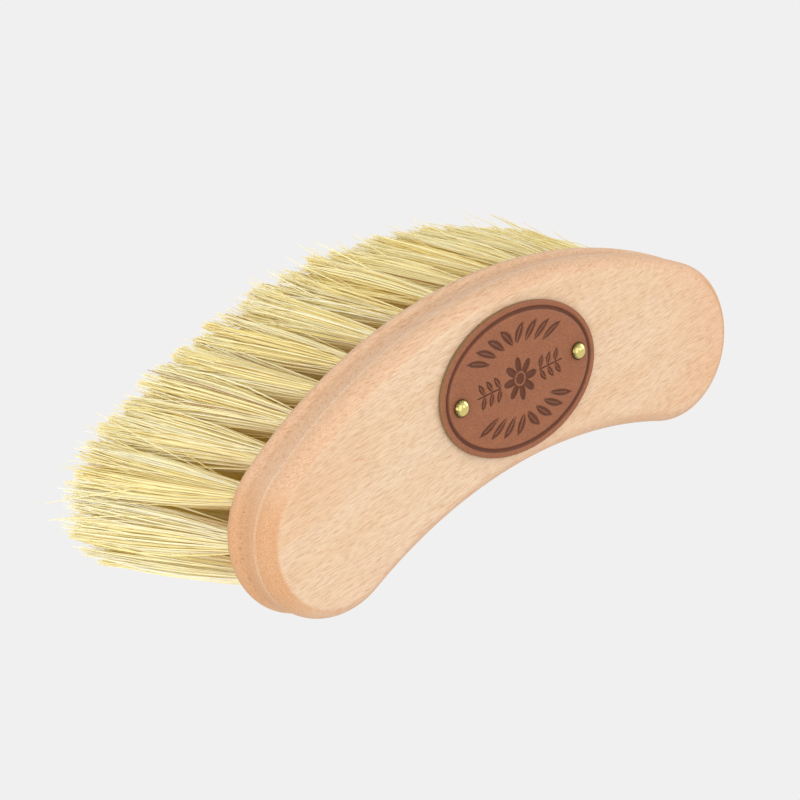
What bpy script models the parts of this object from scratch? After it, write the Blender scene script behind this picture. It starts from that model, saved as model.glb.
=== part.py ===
"""Banana brush: a curved wooden hand brush for grooming, with fanned natural bristles.

The brush stands on its bristle tips with its back up.  X runs along its length, +Y is its
convex side and Z is up.  The origin is on the ground, under the middle of its outer size.
All sizes are in metres.
"""

import math

import bmesh
import bpy
from mathutils import Matrix, Vector

# Block, as seen from its back: a convex edge, a concave edge and two round ends
BLOCK_LENGTH = 0.2100
BLOCK_WIDTH = 0.0626
BLOCK_THICKNESS = 0.0200
END_RADIUS = 0.0284
BLOCK_BOW = 0.0182  # how far the round ends' centres lie below the middle of the width

# Moulded edge of the block, from the underside up
BEAD_RADIUS = 0.0030
COVE_RADIUS = 0.0024
COVE_DEPTH = 0.0023
COVE_RISE = 0.0016  # from the top of the bead to the cove's middle
RIDGE_INSET = 0.0012
RIDGE_RISE = 0.0040  # from the cove's middle to the ridge
RIDGE_WIDTH = 0.0006
SHOULDER_STEP = 0.0006
SHOULDER_INSET = 0.0015
SHOULDER_REACH = 0.0040

# Bristle holes and tufts
FIBRE_LENGTH = 0.0780
HOLE_RADIUS = 0.00375
HOLE_DEPTH = 0.0120
HOLE_EDGE = 0.0103  # from the block's outline to the centres of the outermost holes
TUFT_PITCH = 0.0134
ROW_END_GAP = 0.0076  # how far short of the round ends' centres a middle row stops
ROW_WALL = 0.0012  # the least wood between the holes of the two middle rows
CONVEX_LEAN = 0.0042  # how far the outermost tips lean out across the brush
CONCAVE_LEAN = 0.0008  # the same on the concave side
END_LEAN = 0.0163  # how far the tips at each end lean out along the brush
TIP_CLEARANCE = 0.0011
STRAND_WALL = 0.0004

# Leather badge and its nails
BADGE_LENGTH = 0.0676
BADGE_WIDTH = 0.0478
BADGE_THICKNESS = 0.0015
BADGE_ALONG = 0.0029
BADGE_ACROSS = 0.0005
BADGE_ROUNDING = 0.0004
BADGE_RIM = 0.0017
BADGE_GROOVE = 0.0014
BADGE_GROOVE_DEPTH = 0.0005
BADGE_GROOVE_SLOPE = 0.0002
NAIL_MARGIN = 0.0017  # from the badge's groove to a nail's head
NAIL_HEAD_RADIUS = 0.0029
NAIL_HEAD_HEIGHT = 0.0020
NAIL_HEAD_BRIM = 0.0002
NAIL_SHANK_RADIUS = 0.0008
NAIL_SHANK_LENGTH = 0.0110
NAIL_POINT = 0.0020

# Clearance between pieces that touch, and how far a cutter passes a face
FIT_GAP = 0.0003
OVERRUN = 0.0010
WELD = 0.00001

# Turns, counts and shares
BADGE_TURN = math.radians(-1.8)
STRANDS = 8
ROWS = 4
STEPS_OUTER = 28
STEPS_END = 14
STEPS_INNER = 24
STEPS_BADGE = 48
STEPS_NAIL = 16
INNER_TIP_SHARE = 0.5
TIP_SIZE_SHARE = 1.1
SMOOTH_ANGLE = math.radians(40)

# Worked out from the sizes above
END_DROP = BLOCK_WIDTH / 2 + BLOCK_BOW
END_ALONG = BLOCK_LENGTH / 2 - END_RADIUS
BACK_LEVEL = FIBRE_LENGTH + BLOCK_THICKNESS
BADGE_SEAT = BACK_LEVEL + FIT_GAP
BADGE_FACE = BADGE_SEAT + BADGE_THICKNESS
NAIL_SEAT = BADGE_FACE + FIT_GAP
COVE_HEIGHT = 2 * BEAD_RADIUS + COVE_RISE
RIDGE_HEIGHT = COVE_HEIGHT + RIDGE_RISE
SHOULDER_HEIGHT = RIDGE_HEIGHT + RIDGE_WIDTH + SHOULDER_STEP
ROW_STEP = (BLOCK_WIDTH - 2 * HOLE_EDGE) / (ROWS - 1)
FAN_RADIUS = TUFT_PITCH / 2 - TIP_CLEARANCE

COLOURS = {
    "wood": (0.83, 0.60, 0.38, 1.0),
    "leather": (0.33, 0.13, 0.075, 1.0),
    "brass": (0.72, 0.56, 0.22, 1.0),
    "fibre": (0.76, 0.60, 0.28, 1.0),
}
ROUGHNESS = {"wood": 0.55, "leather": 0.6, "brass": 0.25, "fibre": 0.7}
METALLIC = {"wood": 0.0, "leather": 0.0, "brass": 1.0, "fibre": 0.0}


def clear_scene():
    """Take every object out of the scene."""
    for old in list(bpy.data.objects):
        bpy.data.objects.remove(old)


def material(kind):
    """A Principled material of one kind, made when it is first asked for."""
    found = bpy.data.materials.get(kind)
    if found:
        return found
    made = bpy.data.materials.new(kind)
    made.use_nodes = True
    shader = made.node_tree.nodes["Principled BSDF"]
    shader.inputs["Base Color"].default_value = COLOURS[kind]
    shader.inputs["Roughness"].default_value = ROUGHNESS[kind]
    shader.inputs["Metallic"].default_value = METALLIC[kind]
    made.diffuse_color = COLOURS[kind]
    return made


def make_object(name, bm, kind, parent):
    """Turn a bmesh into a named object with its material, held by the brush's frame."""
    bmesh.ops.recalc_face_normals(bm, faces=bm.faces)
    mesh = bpy.data.meshes.new(name)
    bm.to_mesh(mesh)
    bm.free()
    mesh.materials.append(material(kind))
    made = bpy.data.objects.new(name, mesh)
    bpy.context.scene.collection.objects.link(made)
    made.parent = parent
    return made


def round_off(piece):
    """Shade a turned or moulded piece smooth between its sharp edges."""
    piece.data.shade_smooth()
    piece.data.set_sharp_from_angle(angle=SMOOTH_ANGLE)


def make_cutter(name, bm, parent):
    """An object that only cuts others, so it shows as a wire and is never rendered."""
    cutter = make_object(name, bm, "wood", parent)
    cutter.hide_render = True
    cutter.display_type = "WIRE"
    return cutter


def cut(piece, cutter):
    """Take the cutter's shape out of a piece."""
    boolean = piece.modifiers.new(cutter.name, "BOOLEAN")
    boolean.operation = "DIFFERENCE"
    boolean.solver = "EXACT"
    boolean.object = cutter


class Arc:
    """One arc of the block's outline, walked clockwise as seen from the back.

    An inset makes it the parallel arc that lies that far inside the outline: smaller on the
    convex side and at the ends, where bulge is 1, and larger on the concave side, where it
    is -1.
    """

    def __init__(self, centre, radius, start, end, bulge, steps):
        self.centre = centre
        self.radius = radius
        self.start = start
        self.end = end
        self.bulge = bulge
        self.steps = steps

    def length(self, inset):
        return abs(self.end - self.start) * (self.radius - self.bulge * inset)

    def at(self, share, inset):
        """The point at a share of the arc, and the way out of the block there."""
        angle = self.start + share * (self.end - self.start)
        ray = Vector((math.cos(angle), math.sin(angle)))
        return self.centre + ray * (self.radius - self.bulge * inset), ray * self.bulge


def block_arcs():
    """The four arcs of the outline: convex edge, right end, concave edge, left end.

    Each long arc is centred on the Y axis and touches both end circles, which fixes its
    radius.  With the end circle's centre e along and k below the crest, and its radius r,
    the convex radius is (e^2 + k^2 - r^2) / (2 (k - r)).  The concave one has the same form
    with h, the centre's height above the concave edge, for k: (e^2 + h^2 - r^2) / (2 (r - h)).
    """
    rise = BLOCK_WIDTH - END_DROP
    spare = END_ALONG**2 - END_RADIUS**2
    outer_radius = (spare + END_DROP**2) / (2 * (END_DROP - END_RADIUS))
    inner_radius = (spare + rise**2) / (2 * (END_RADIUS - rise))
    end = Vector((END_ALONG, -END_DROP))
    outer_centre = Vector((0, -outer_radius))
    inner_centre = Vector((0, -BLOCK_WIDTH - inner_radius))
    outer_ray = end - outer_centre
    inner_ray = end - inner_centre
    outer_angle = math.atan2(outer_ray.y, outer_ray.x)
    inner_angle = math.atan2(inner_ray.y, inner_ray.x)
    left = Vector((-END_ALONG, -END_DROP))
    return [
        Arc(outer_centre, outer_radius, math.pi - outer_angle, outer_angle, 1, STEPS_OUTER),
        Arc(end, END_RADIUS, outer_angle, inner_angle - math.pi, 1, STEPS_END),
        Arc(inner_centre, inner_radius, inner_angle, math.pi - inner_angle, -1, STEPS_INNER),
        Arc(left, END_RADIUS, math.tau - inner_angle, math.pi - outer_angle, 1, STEPS_END),
    ]


def outline(arcs, inset):
    """The closed run of points that lies an inset inside the block's outline."""
    points = []
    for arc in arcs:
        points += [arc.at(step / arc.steps, inset)[0] for step in range(arc.steps)]
    return points


def edge_profile():
    """The moulded edge from the underside to the back, as pairs of inset and height."""
    profile = []
    for degrees in (-90, -60, -30, 0, 24, 45):
        turn = math.radians(degrees)
        inset = BEAD_RADIUS - BEAD_RADIUS * math.cos(turn)
        profile.append((inset, BEAD_RADIUS + BEAD_RADIUS * math.sin(turn)))
    for degrees in (-50, -20, 10, 44):
        turn = math.radians(degrees)
        inset = COVE_DEPTH - COVE_RADIUS + COVE_RADIUS * math.cos(turn)
        profile.append((inset, COVE_HEIGHT + COVE_RADIUS * math.sin(turn)))
    profile.append((RIDGE_INSET, RIDGE_HEIGHT))
    profile.append((RIDGE_INSET, RIDGE_HEIGHT + RIDGE_WIDTH))
    rise = BLOCK_THICKNESS - SHOULDER_HEIGHT
    for degrees in (0, 20, 40, 60, 76, 90):
        turn = math.radians(degrees)
        inset = SHOULDER_INSET + SHOULDER_REACH - SHOULDER_REACH * math.cos(turn)
        profile.append((inset, SHOULDER_HEIGHT + rise * math.sin(turn)))
    return profile


def skin(bm, rings):
    """Join closed rings of points one after another and cap the first and the last."""
    rows = [[bm.verts.new(point) for point in ring] for ring in rings]
    for low, high in zip(rows, rows[1:]):
        for here in range(len(low)):
            after = (here + 1) % len(low)
            bm.faces.new((low[here], low[after], high[after], high[here]))
    bm.faces.new(rows[0])
    bm.faces.new(rows[-1])


def make_block(parent, arcs):
    """The wooden block: its moulded edge carried round the outline, back and underside flat."""
    bm = bmesh.new()
    rings = []
    for inset, height in edge_profile():
        level = FIBRE_LENGTH + height
        rings.append([(point.x, point.y, level) for point in outline(arcs, inset)])
    skin(bm, rings)
    block = make_object("block", bm, "wood", parent)
    round_off(block)
    return block


def ring_places(arcs):
    """Evenly spaced places on the ring of outermost holes, one at the middle of its crest."""
    total = sum(arc.length(HOLE_EDGE) for arc in arcs)
    count = 2 * math.floor(total / TUFT_PITCH / 2)
    places = []
    for number in range(count):
        run = number * total / count + arcs[0].length(HOLE_EDGE) / 2
        run %= total
        for arc in arcs:
            if run <= arc.length(HOLE_EDGE):
                break
            run -= arc.length(HOLE_EDGE)
        places.append(arc.at(run / arc.length(HOLE_EDGE), HOLE_EDGE))
    return places


def row_places(arc):
    """Evenly spaced places on a middle row, which runs along one of the long arcs.

    The two middle rows draw together towards the ends, by the square of the share of the way
    to the round ends' centres.  A row stops short of those centres, or sooner where the wood
    between the two rows' holes would get too thin.
    """
    inset = HOLE_EDGE + ROW_STEP
    reach = END_ALONG - ROW_END_GAP
    drawn_in = BLOCK_WIDTH - 2 * END_RADIUS
    if drawn_in > 0:
        room = max(0, ROW_STEP - 2 * HOLE_RADIUS - ROW_WALL)
        reach = min(reach, END_ALONG * math.sqrt(room / drawn_in))
    count = 2 * math.floor(reach / TUFT_PITCH + 0.5)
    pitch = 2 * reach / (count - 1)
    places = []
    for number in range(count):
        run = (number - (count - 1) / 2) * pitch
        places.append(arc.at(run / arc.length(inset) + 0.5, inset))
    return places


def tuft_places(arcs):
    """Name, place, way out and share of the sideways lean for every tuft."""
    row_lean_share = 1 - 2 / (ROWS - 1)
    tufts = []
    for number, (place, out) in enumerate(ring_places(arcs)):
        tufts.append((f"tuft_ring_{number + 1:02d}", place, out, 1))
    for label, arc in (("convex", arcs[0]), ("concave", arcs[2])):
        for number, (place, out) in enumerate(row_places(arc)):
            tufts.append((f"tuft_{label}_row_{number + 1:02d}", place, out, row_lean_share))
    for label, arc in (("right", arcs[1]), ("left", arcs[3])):
        out = Vector((math.copysign(1, arc.centre.x), 0))
        tufts.append((f"tuft_{label}_end", arc.centre, out, 0))
    return tufts


def tuft_lean(place, out, lean_share):
    """How far a tuft's tips lean out from its hole: to the side, and more towards the ends."""
    reach = BLOCK_LENGTH / 2 - HOLE_EDGE
    along = END_LEAN * (place.x / reach) * abs(place.x / reach)
    side = CONVEX_LEAN if out.y > 0 else CONCAVE_LEAN
    return Vector((along, side * out.y * lean_share))


def leaning_peg(bm, place, radius, low, high, lean, turn):
    """An upright prism that leans as its tuft does, between two heights above the underside."""
    ring = bmesh.ops.create_cone(
        bm,
        cap_ends=True,
        segments=STRANDS,
        radius1=radius,
        radius2=radius,
        depth=high - low,
        matrix=Matrix.Rotation(turn + math.pi / STRANDS, 4, "Z"),
    )["verts"]
    slope = Matrix.Shear("XY", 4, (-lean.x / FIBRE_LENGTH, -lean.y / FIBRE_LENGTH))
    raised = slope @ Matrix.Translation((0, 0, (low + high) / 2))
    stand = Matrix.Translation((place.x, place.y, FIBRE_LENGTH))
    bmesh.ops.transform(bm, matrix=stand @ raised, verts=ring)


def make_tuft(parent, name, place, out, lean):
    """One tuft: its root fills the hole and its strands fan out to tips cut level.

    The root's mouth is split into one wedge for each strand.  A strand starts as a small
    triangle inside its wedge and stays in it all the way down, so strands never cross.
    """
    bm = bmesh.new()
    turn = math.atan2(out.y, out.x)
    bore = HOLE_RADIUS - FIT_GAP
    leaning_peg(bm, place, bore, 0, HOLE_DEPTH - FIT_GAP, lean, turn)
    mouth = min(bm.faces, key=lambda face: face.calc_center_median().z)
    wedges = bmesh.ops.poke(bm, faces=[mouth])["faces"]
    bmesh.ops.inset_individual(bm, faces=wedges, thickness=STRAND_WALL, use_even_offset=True)
    ends = bmesh.ops.extrude_discrete_faces(bm, faces=wedges)["faces"]
    for end in ends:
        root = end.calc_center_median()
        spread = (root.xy - place).normalized()
        wedge = round((math.atan2(spread.y, spread.x) - turn) * STRANDS / math.tau)
        fan = FAN_RADIUS if wedge % 2 == 0 else FAN_RADIUS * INNER_TIP_SHARE
        tip = place + lean + spread * fan
        for vert in end.verts:
            offset = (vert.co.xy - root.xy) * TIP_SIZE_SHARE
            vert.co = (tip.x + offset.x, tip.y + offset.y, 0)
    return make_object(name, bm, "fibre", parent)


def make_tufts(parent, block, arcs):
    """Every tuft, and its blind hole in the underside of the block."""
    holes = bmesh.new()
    tufts = []
    for name, place, out, lean_share in tuft_places(arcs):
        lean = tuft_lean(place, out, lean_share)
        turn = math.atan2(out.y, out.x)
        leaning_peg(holes, place, HOLE_RADIUS, -OVERRUN, HOLE_DEPTH, lean, turn)
        tufts.append(make_tuft(parent, name, place, out, lean))
    cut(block, make_cutter("tuft_hole_cutter", holes, parent))
    return tufts


def badge_ring(inset, level):
    """The badge's oval, an inset inside its rim, turned and set on the back of the block."""
    turned = Matrix.Rotation(BADGE_TURN, 2)
    ring = []
    for step in range(STEPS_BADGE):
        angle = math.tau * step / STEPS_BADGE
        across = (BADGE_WIDTH / 2 - inset) * math.sin(angle)
        flat = turned @ Vector(((BADGE_LENGTH / 2 - inset) * math.cos(angle), across))
        ring.append((BADGE_ALONG + flat.x, flat.y - BADGE_ACROSS - BLOCK_WIDTH / 2, level))
    return ring


def make_badge(parent):
    """The oval leather badge with a pressed ring groove inside its rim."""
    floor = BADGE_FACE - BADGE_GROOVE_DEPTH
    groove_end = BADGE_RIM + BADGE_GROOVE
    bm = bmesh.new()
    skin(
        bm,
        [
            badge_ring(0, BADGE_SEAT),
            badge_ring(0, BADGE_FACE - BADGE_ROUNDING),
            badge_ring(BADGE_ROUNDING, BADGE_FACE),
            badge_ring(BADGE_RIM, BADGE_FACE),
            badge_ring(BADGE_RIM + BADGE_GROOVE_SLOPE, floor),
            badge_ring(groove_end - BADGE_GROOVE_SLOPE, floor),
            badge_ring(groove_end, BADGE_FACE),
        ],
    )
    badge = make_object("leather_badge", bm, "leather", parent)
    round_off(badge)
    return badge


def nail_places():
    """The two nails' places, on the badge's long axis."""
    ray = Vector((math.cos(BADGE_TURN), math.sin(BADGE_TURN)))
    middle = Vector((BADGE_ALONG, -BADGE_ACROSS - BLOCK_WIDTH / 2))
    half = BADGE_LENGTH / 2 - BADGE_RIM - BADGE_GROOVE - NAIL_MARGIN - NAIL_HEAD_RADIUS
    return {"nail_left": middle - ray * half, "nail_right": middle + ray * half}


def turned_shape(profile, place):
    """Spin a profile, given as pairs of radius and height, once round an upright axis."""
    bm = bmesh.new()
    verts = [bm.verts.new((place.x + radius, place.y, level)) for radius, level in profile]
    edges = [bm.edges.new(pair) for pair in zip(verts, verts[1:])]
    bmesh.ops.spin(
        bm,
        geom=verts + edges,
        cent=(place.x, place.y, 0),
        axis=(0, 0, 1),
        angle=math.tau,
        steps=STEPS_NAIL,
        use_duplicate=False,
    )
    bmesh.ops.remove_doubles(bm, verts=bm.verts, dist=WELD)
    return bm


def make_nail(parent, name, place):
    """A brass nail: a domed head on the leather and a pointed shank in the wood."""
    brim = NAIL_SEAT + NAIL_HEAD_BRIM
    dome = NAIL_HEAD_HEIGHT - NAIL_HEAD_BRIM
    tip = NAIL_SEAT - NAIL_SHANK_LENGTH
    profile = [(0, tip), (NAIL_SHANK_RADIUS, tip + NAIL_POINT), (NAIL_SHANK_RADIUS, NAIL_SEAT)]
    profile.append((NAIL_HEAD_RADIUS, NAIL_SEAT))
    for degrees in (0, 25, 50, 72):
        turn = math.radians(degrees)
        profile.append((NAIL_HEAD_RADIUS * math.cos(turn), brim + dome * math.sin(turn)))
    profile.append((0, brim + dome))
    nail = make_object(name, turned_shape(profile, place), "brass", parent)
    round_off(nail)
    return nail


def make_nails(parent, block, badge):
    """Both nails, and the pilot hole of each through the badge into the block."""
    top = BADGE_FACE + OVERRUN
    bottom = NAIL_SEAT - NAIL_SHANK_LENGTH - FIT_GAP
    bore = NAIL_SHANK_RADIUS + FIT_GAP
    for name, place in nail_places().items():
        make_nail(parent, name, place)
        profile = [(0, bottom), (bore, bottom), (bore, top), (0, top)]
        pilot = make_cutter(f"{name}_pilot_cutter", turned_shape(profile, place), parent)
        cut(block, pilot)
        cut(badge, pilot)


def centre_frame(frame, pieces):
    """Move the frame so that the middle of the pieces' outer size stands over the origin."""
    corners = [vert.co for piece in pieces for vert in piece.data.vertices]
    for axis in (0, 1):
        low = min(corner[axis] for corner in corners)
        high = max(corner[axis] for corner in corners)
        frame.location[axis] = -(low + high) / 2


def build():
    """Build the whole brush on its own frame."""
    clear_scene()
    frame = bpy.data.objects.new("brush_frame", None)
    bpy.context.scene.collection.objects.link(frame)
    arcs = block_arcs()
    block = make_block(frame, arcs)
    tufts = make_tufts(frame, block, arcs)
    badge = make_badge(frame)
    make_nails(frame, block, badge)
    centre_frame(frame, [block] + tufts)


build()
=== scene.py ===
"""Looks of a banana brush: a curved beech hand brush with fanned plant-fibre bristles.

Every piece is a surface worked out as whole arrays on a grid, in metres and in the frame of
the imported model.
The brush stands on its bristle tips: X along its length, +Y its convex side, Z up.
"""

import math

import bpy
import numpy as np
from mathutils import Matrix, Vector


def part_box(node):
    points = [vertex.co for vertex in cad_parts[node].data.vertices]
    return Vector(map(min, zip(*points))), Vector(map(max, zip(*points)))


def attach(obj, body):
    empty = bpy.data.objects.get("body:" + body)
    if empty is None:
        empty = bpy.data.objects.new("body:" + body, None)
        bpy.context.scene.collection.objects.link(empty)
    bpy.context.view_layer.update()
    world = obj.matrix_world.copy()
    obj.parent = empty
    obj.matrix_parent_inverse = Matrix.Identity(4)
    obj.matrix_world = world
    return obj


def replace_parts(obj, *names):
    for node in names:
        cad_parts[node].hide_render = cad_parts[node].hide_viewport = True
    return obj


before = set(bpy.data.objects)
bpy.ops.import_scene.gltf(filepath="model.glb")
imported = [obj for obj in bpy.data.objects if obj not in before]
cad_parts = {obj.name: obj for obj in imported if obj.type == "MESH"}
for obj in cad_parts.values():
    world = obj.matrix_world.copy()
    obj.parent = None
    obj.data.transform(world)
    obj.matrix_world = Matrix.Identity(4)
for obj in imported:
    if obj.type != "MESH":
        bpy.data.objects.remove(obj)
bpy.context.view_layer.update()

# Block seen from its back, and its moulded edge from the underside up
BLOCK_LENGTH = 0.2100
BLOCK_WIDTH = 0.0626
END_RADIUS = 0.0284
BLOCK_BOW = 0.0182
BEAD_RADIUS = 0.0030
BEAD_TURN = (-90, 45)
COVE_DEPTH = 0.0009
COVE_SKEW = 0.6
DUST_HEIGHT = 0.0061
LIP_INSET = 0.0010
LIP_HEIGHT = 0.0137
SEAM_DROP = 0.0074
SHOULDER_REACH = 0.0056
SHOULDER_SKEW = 0.9
BACK_BORDER = 0.0003
BEAD_STEPS = 17
COVE_STEPS = 20
SHOULDER_STEPS = 19
EDGE_STEPS = 96
EDGE_WINDOW = 7
EDGE_CALM = 0.0008
EDGE_SHARP = math.radians(24)
STEPS_LONG = 110
STEPS_END = 56

# Bristle holes
LEVEL_TOLERANCE = 0.0001
HOLE_RADIUS = 0.00375
HOLE_DEPTH = 0.0120
HOLE_SIDES = 28
PEG_START = -0.1

# Fibres: their places, their lengths and their tones. A chance is the spread of random draws
PACK_RADIUS = 0.0035
FAN_ALONG = 0.0096
FAN_ACROSS = 0.0066
FAN_OVERLAP_SHARE = 0.66
FAN_CHANCE = 0.05
SPREAD_POWER = 1.32
END_CHANCE = 0.08
STRAY_SHARE = 0.035
STRAY_REACH = (1.9, 1.7)
LOCKS = 22
LOCK_SHARE = 0.5
LOCK_REACH = 0.9
ROOT_DEPTH = 0.0045
TIP_RAGGEDNESS = 0.0015
LOCK_RAGGEDNESS = 0.0030
TIP_TRIM = 0.0020
TIP_CLEARANCE = 0.00005
LONG_SHARE = 0.03
BROKEN_SHARE = 0.05
BROKEN_RANGE = (1, 4)
FIBRE_STATIONS = (0.0, 0.18, 0.4, 0.64, 0.86, 1.0)
FIBRE_SIDES = 3
FIBRE_RADIUS = 0.00019
FIBRE_THICKNESS = (0.7, 1.35)
FIBRE_TAPER = ((0, 0.8, 1), (1, 0.95, 0.55))
FIBRE_BEND = 0.0011
LOCK_BEND = 0.6 * FIBRE_BEND
FIBRE_WOBBLE = 0.00010
OUTER_FIBRES = 500
INNER_FIBRES = 300
FIRST_SEED = 4100
TONE_MIDDLE = 0.68
TONE_CHANCE = 0.14
LOCK_TONE_CHANCE = 0.08
TUFT_TONE_CHANCE = 0.03
TONE_LEAST = 0.04
# Painted shade: how far the tone drops for a fibre deep in its tuft
DEEP_SHADE_DROP = 0.28
DARK_SHARE = 0.006
# How buried a ring fibre is behind its tuft, which sets its painted shade near the root
BURIED_MIDDLE = 0.62
BURIED_SLOPE = 0.55

# Leather badge, its pressed ornament and its nails
BADGE_LENGTH = 0.0676
BADGE_WIDTH = 0.0478
BADGE_TURN = math.radians(-1.8)
BADGE_STATIONS = 640
BADGE_ROWS = 110
BADGE_RIM = 0.0017
BADGE_GROOVE = 0.0014
BADGE_GROOVE_DEPTH = 0.0006
BADGE_GROOVE_SLOPE = 0.00025
BADGE_ROUNDING = 0.00045
CORNER_CUTS = (0.9, 0.6, 0.3, 0.1, 0, 0, 0, 0)
BADGE_TOP_SHARE = 0.6
ORNAMENT_DEPTH = 0.00042
PETALS = 8
PETAL_LENGTH = 0.0046
PETAL_EDGE = 0.0003
ROSETTE_EYE = 0.0021
ROSETTE_BODY = 1.3 * ROSETTE_EYE
EYE_RING = (0.00015, 0.00045)
SPRIG_START = 0.0086
SPRIG_PAIRS = 3
LEAF_STEP = 0.0034
LEAF_LENGTH = 0.0025
LEAF_WIDTH = 0.00105
LEAF_EDGE = (-0.00005, 0.00020)
LEAF_ROOT = 0.30
LEAF_OUT = 0.85 * LEAF_LENGTH
RIB_WIDTH = 0.00024
RIB_SHARE = 0.55
STEM_EDGE = (0.7 * RIB_WIDTH, 1.3 * RIB_WIDTH)
SLANT = (0.45, 0.893)
WREATH_HALVES = (0.0232, 0.0146)
WREATH_STEP = 0.0050
WREATH_LEAVES = 4
WREATH_SIZE_SHARE = 1.5
NAIL_DIMPLE = 0.00022
NAIL_DIMPLE_REACH = 0.0032
NAIL_BRIM = 0.00025
NAIL_LIFT = 0.0003
NAIL_SHANK_RADIUS = 0.0008
NAIL_POINT = 0.0020
NAIL_SIDES = 48
DOME_STEPS = 15
NAIL_SHARP = math.radians(50)

# Beech: its grain as cells to the metre along, across and up, its contrasts and its colours
GRAIN_TURN = math.radians(5.0)
GRAIN_SWAY = (0.0, 0.0022, 0.0022)
DRIFT_CELLS = (30, 60, 60)
BAND_CELLS = (6, 90, 60)
BAND_SHIFT = (3.1, 0.4, 0.0)
BLUSH_CELLS = (9, 26, 26)
BLUSH_SHIFT = (1.7, 5.2, 0.0)
STREAK_CELLS = (110, 2300, 1700)
HAIR_CELLS = (330, 4600, 3600)
FLECK_CELLS = (230, 4200, 480)
DASH_CELLS = (250, 3900, 1500)
DASH_SHIFT = (7.0, 3.0, 5.0)
SPECKLE_CELLS = (2500, 2500, 2100)
DUST_CELLS = (900, 900, 900)
PORE_CELLS = 1700.0
STREAK_TONE = 0.07
HAIR_TONE = 0.09
SPECKLE_TONE = (-0.21, 0.11)
FLECK_SCARCITY = 0.80
FLECK_SIZE = 0.38
PALE_MIDDLE = -0.030
SIDE_SHARE = 0.65
END_SHARE = 0.8
# Share of the painted highlight along the lip of the moulded edge
LIP_HIGHLIGHT_SHARE = 0.55
MARKS_SHARE = 0.7
BEECH_PALE = (0.652, 0.466, 0.310, 1)
BEECH_WARM = (0.632, 0.415, 0.246, 1)
BEECH_FAR_END = (0.632, 0.385, 0.226, 1)
BEECH_BRIGHT = (0.655, 0.495, 0.345, 1)
BEECH_BLUSH = (0.630, 0.418, 0.275, 1)
BEECH_SIDE = (0.625, 0.385, 0.232, 1)
BEECH_END_GRAIN = (0.550, 0.290, 0.138, 1)
# Colour of the painted highlight along the lip
BEECH_LIP_HIGHLIGHT = (0.74, 0.54, 0.375, 1)
BEECH_MARKS = (0.480, 0.190, 0.075, 1)
BEECH_DUST = (0.40, 0.225, 0.120, 1)
BEECH_PORES = (0.23, 0.14, 0.09, 1)
BEECH_RELIEF = 0.00005

# Plant fibre: colours from the darkest tone to the palest, then the painted golden shade deep in
# a tuft and the painted shade on buried fibres
STRAW_RAMP = (
    (0.0, (0.22, 0.06, 0.04)), (0.02, (0.30, 0.11, 0.06)), (0.045, (0.74, 0.56, 0.19)),
    (0.25, (0.86, 0.755, 0.34)), (0.50, (0.86, 0.81, 0.475)), (0.78, (0.82, 0.81, 0.595)),
    (1.0, (0.80, 0.80, 0.69)),
)
# Painted golden shade on fibres deep in a tuft
STRAW_DEEP_SHADE = (0.93, 0.77, 0.27, 1)
# Painted shade on buried fibres near the root
STRAW_SHADE = (0.43, 0.23, 0.045, 1)
STRAW_GLOW = (1.0, 0.60, 0.08, 1.0)
STRAW_GLOW_STRENGTH = 0.05
STRAW_SHEEN = (1.0, 0.75, 0.35, 1.0)
MOTTLE_CELLS = (900, 900, 130)
STRAW_RELIEF = 0.00004

# Leather and brass
HIDE_CELLS = 1900.0
HIDE_PORES = 2300.0
HIDE_HAZE = 160.0
HIDE_PLAIN = (0.270, 0.098, 0.045, 1)
# Pressed leather: its own tooled darkening together with painted shade in the pressed hollows
HIDE_PRESSED_SHADE = (0.085, 0.021, 0.007, 1)
HIDE_CUT = (0.230, 0.135, 0.058, 1)
HIDE_RELIEF = 0.00003
SCUFF_CELLS = (2600, 900, 900)
# Patches in the painted dark reflection round the nails' brims, in cells to the metre
DARK_REFLECTION_CELLS = 1500.0
BRASS_BRIGHT = (0.68, 0.57, 0.21, 1)
# Colour of the painted dark reflection round each nail's brim
BRASS_DARK_REFLECTION = (0.09, 0.06, 0.015, 1)
BRASS_RELIEF = 0.00001

# Camera: its place from the crest of the block's back, its line of sight, its upward way, its lens
CAMERA_OFFSET = (-0.401950, 0.208729, 0.468859)
CAMERA_LOOK = (0.565599, -0.361132, -0.741405)
CAMERA_UP = (0.382276, 0.911409, -0.152311)
CAMERA_LENS = 94.528
SENSOR_WIDTH = 36.0
CAMERA_RANGE = (0.01, 50.0)

# Studio: each light's way from the brush's middle, its side in metres and its watts
BACKDROP = (0.879, 0.871, 0.871, 1.0)
TENT_STRENGTH = 0.95
FLOOR_HALF = 6.0
BRUSH_MIDDLE = (0.0, 0.0, 0.05)
LIGHT_DISTANCE = 1.2
LIGHTS = {
    "end_light": ((-0.90, 0.20, 0.35), 0.7, 4.2),
    "camera_light": ((-0.57, 0.36, 0.74), 1.4, 4.5),
    "crest_light": ((0.34, 0.21, 0.92), 0.30, 1.3),
    "far_light": ((0.90, 0.20, 0.40), 0.7, 3.3),
}


# Meshes

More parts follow.
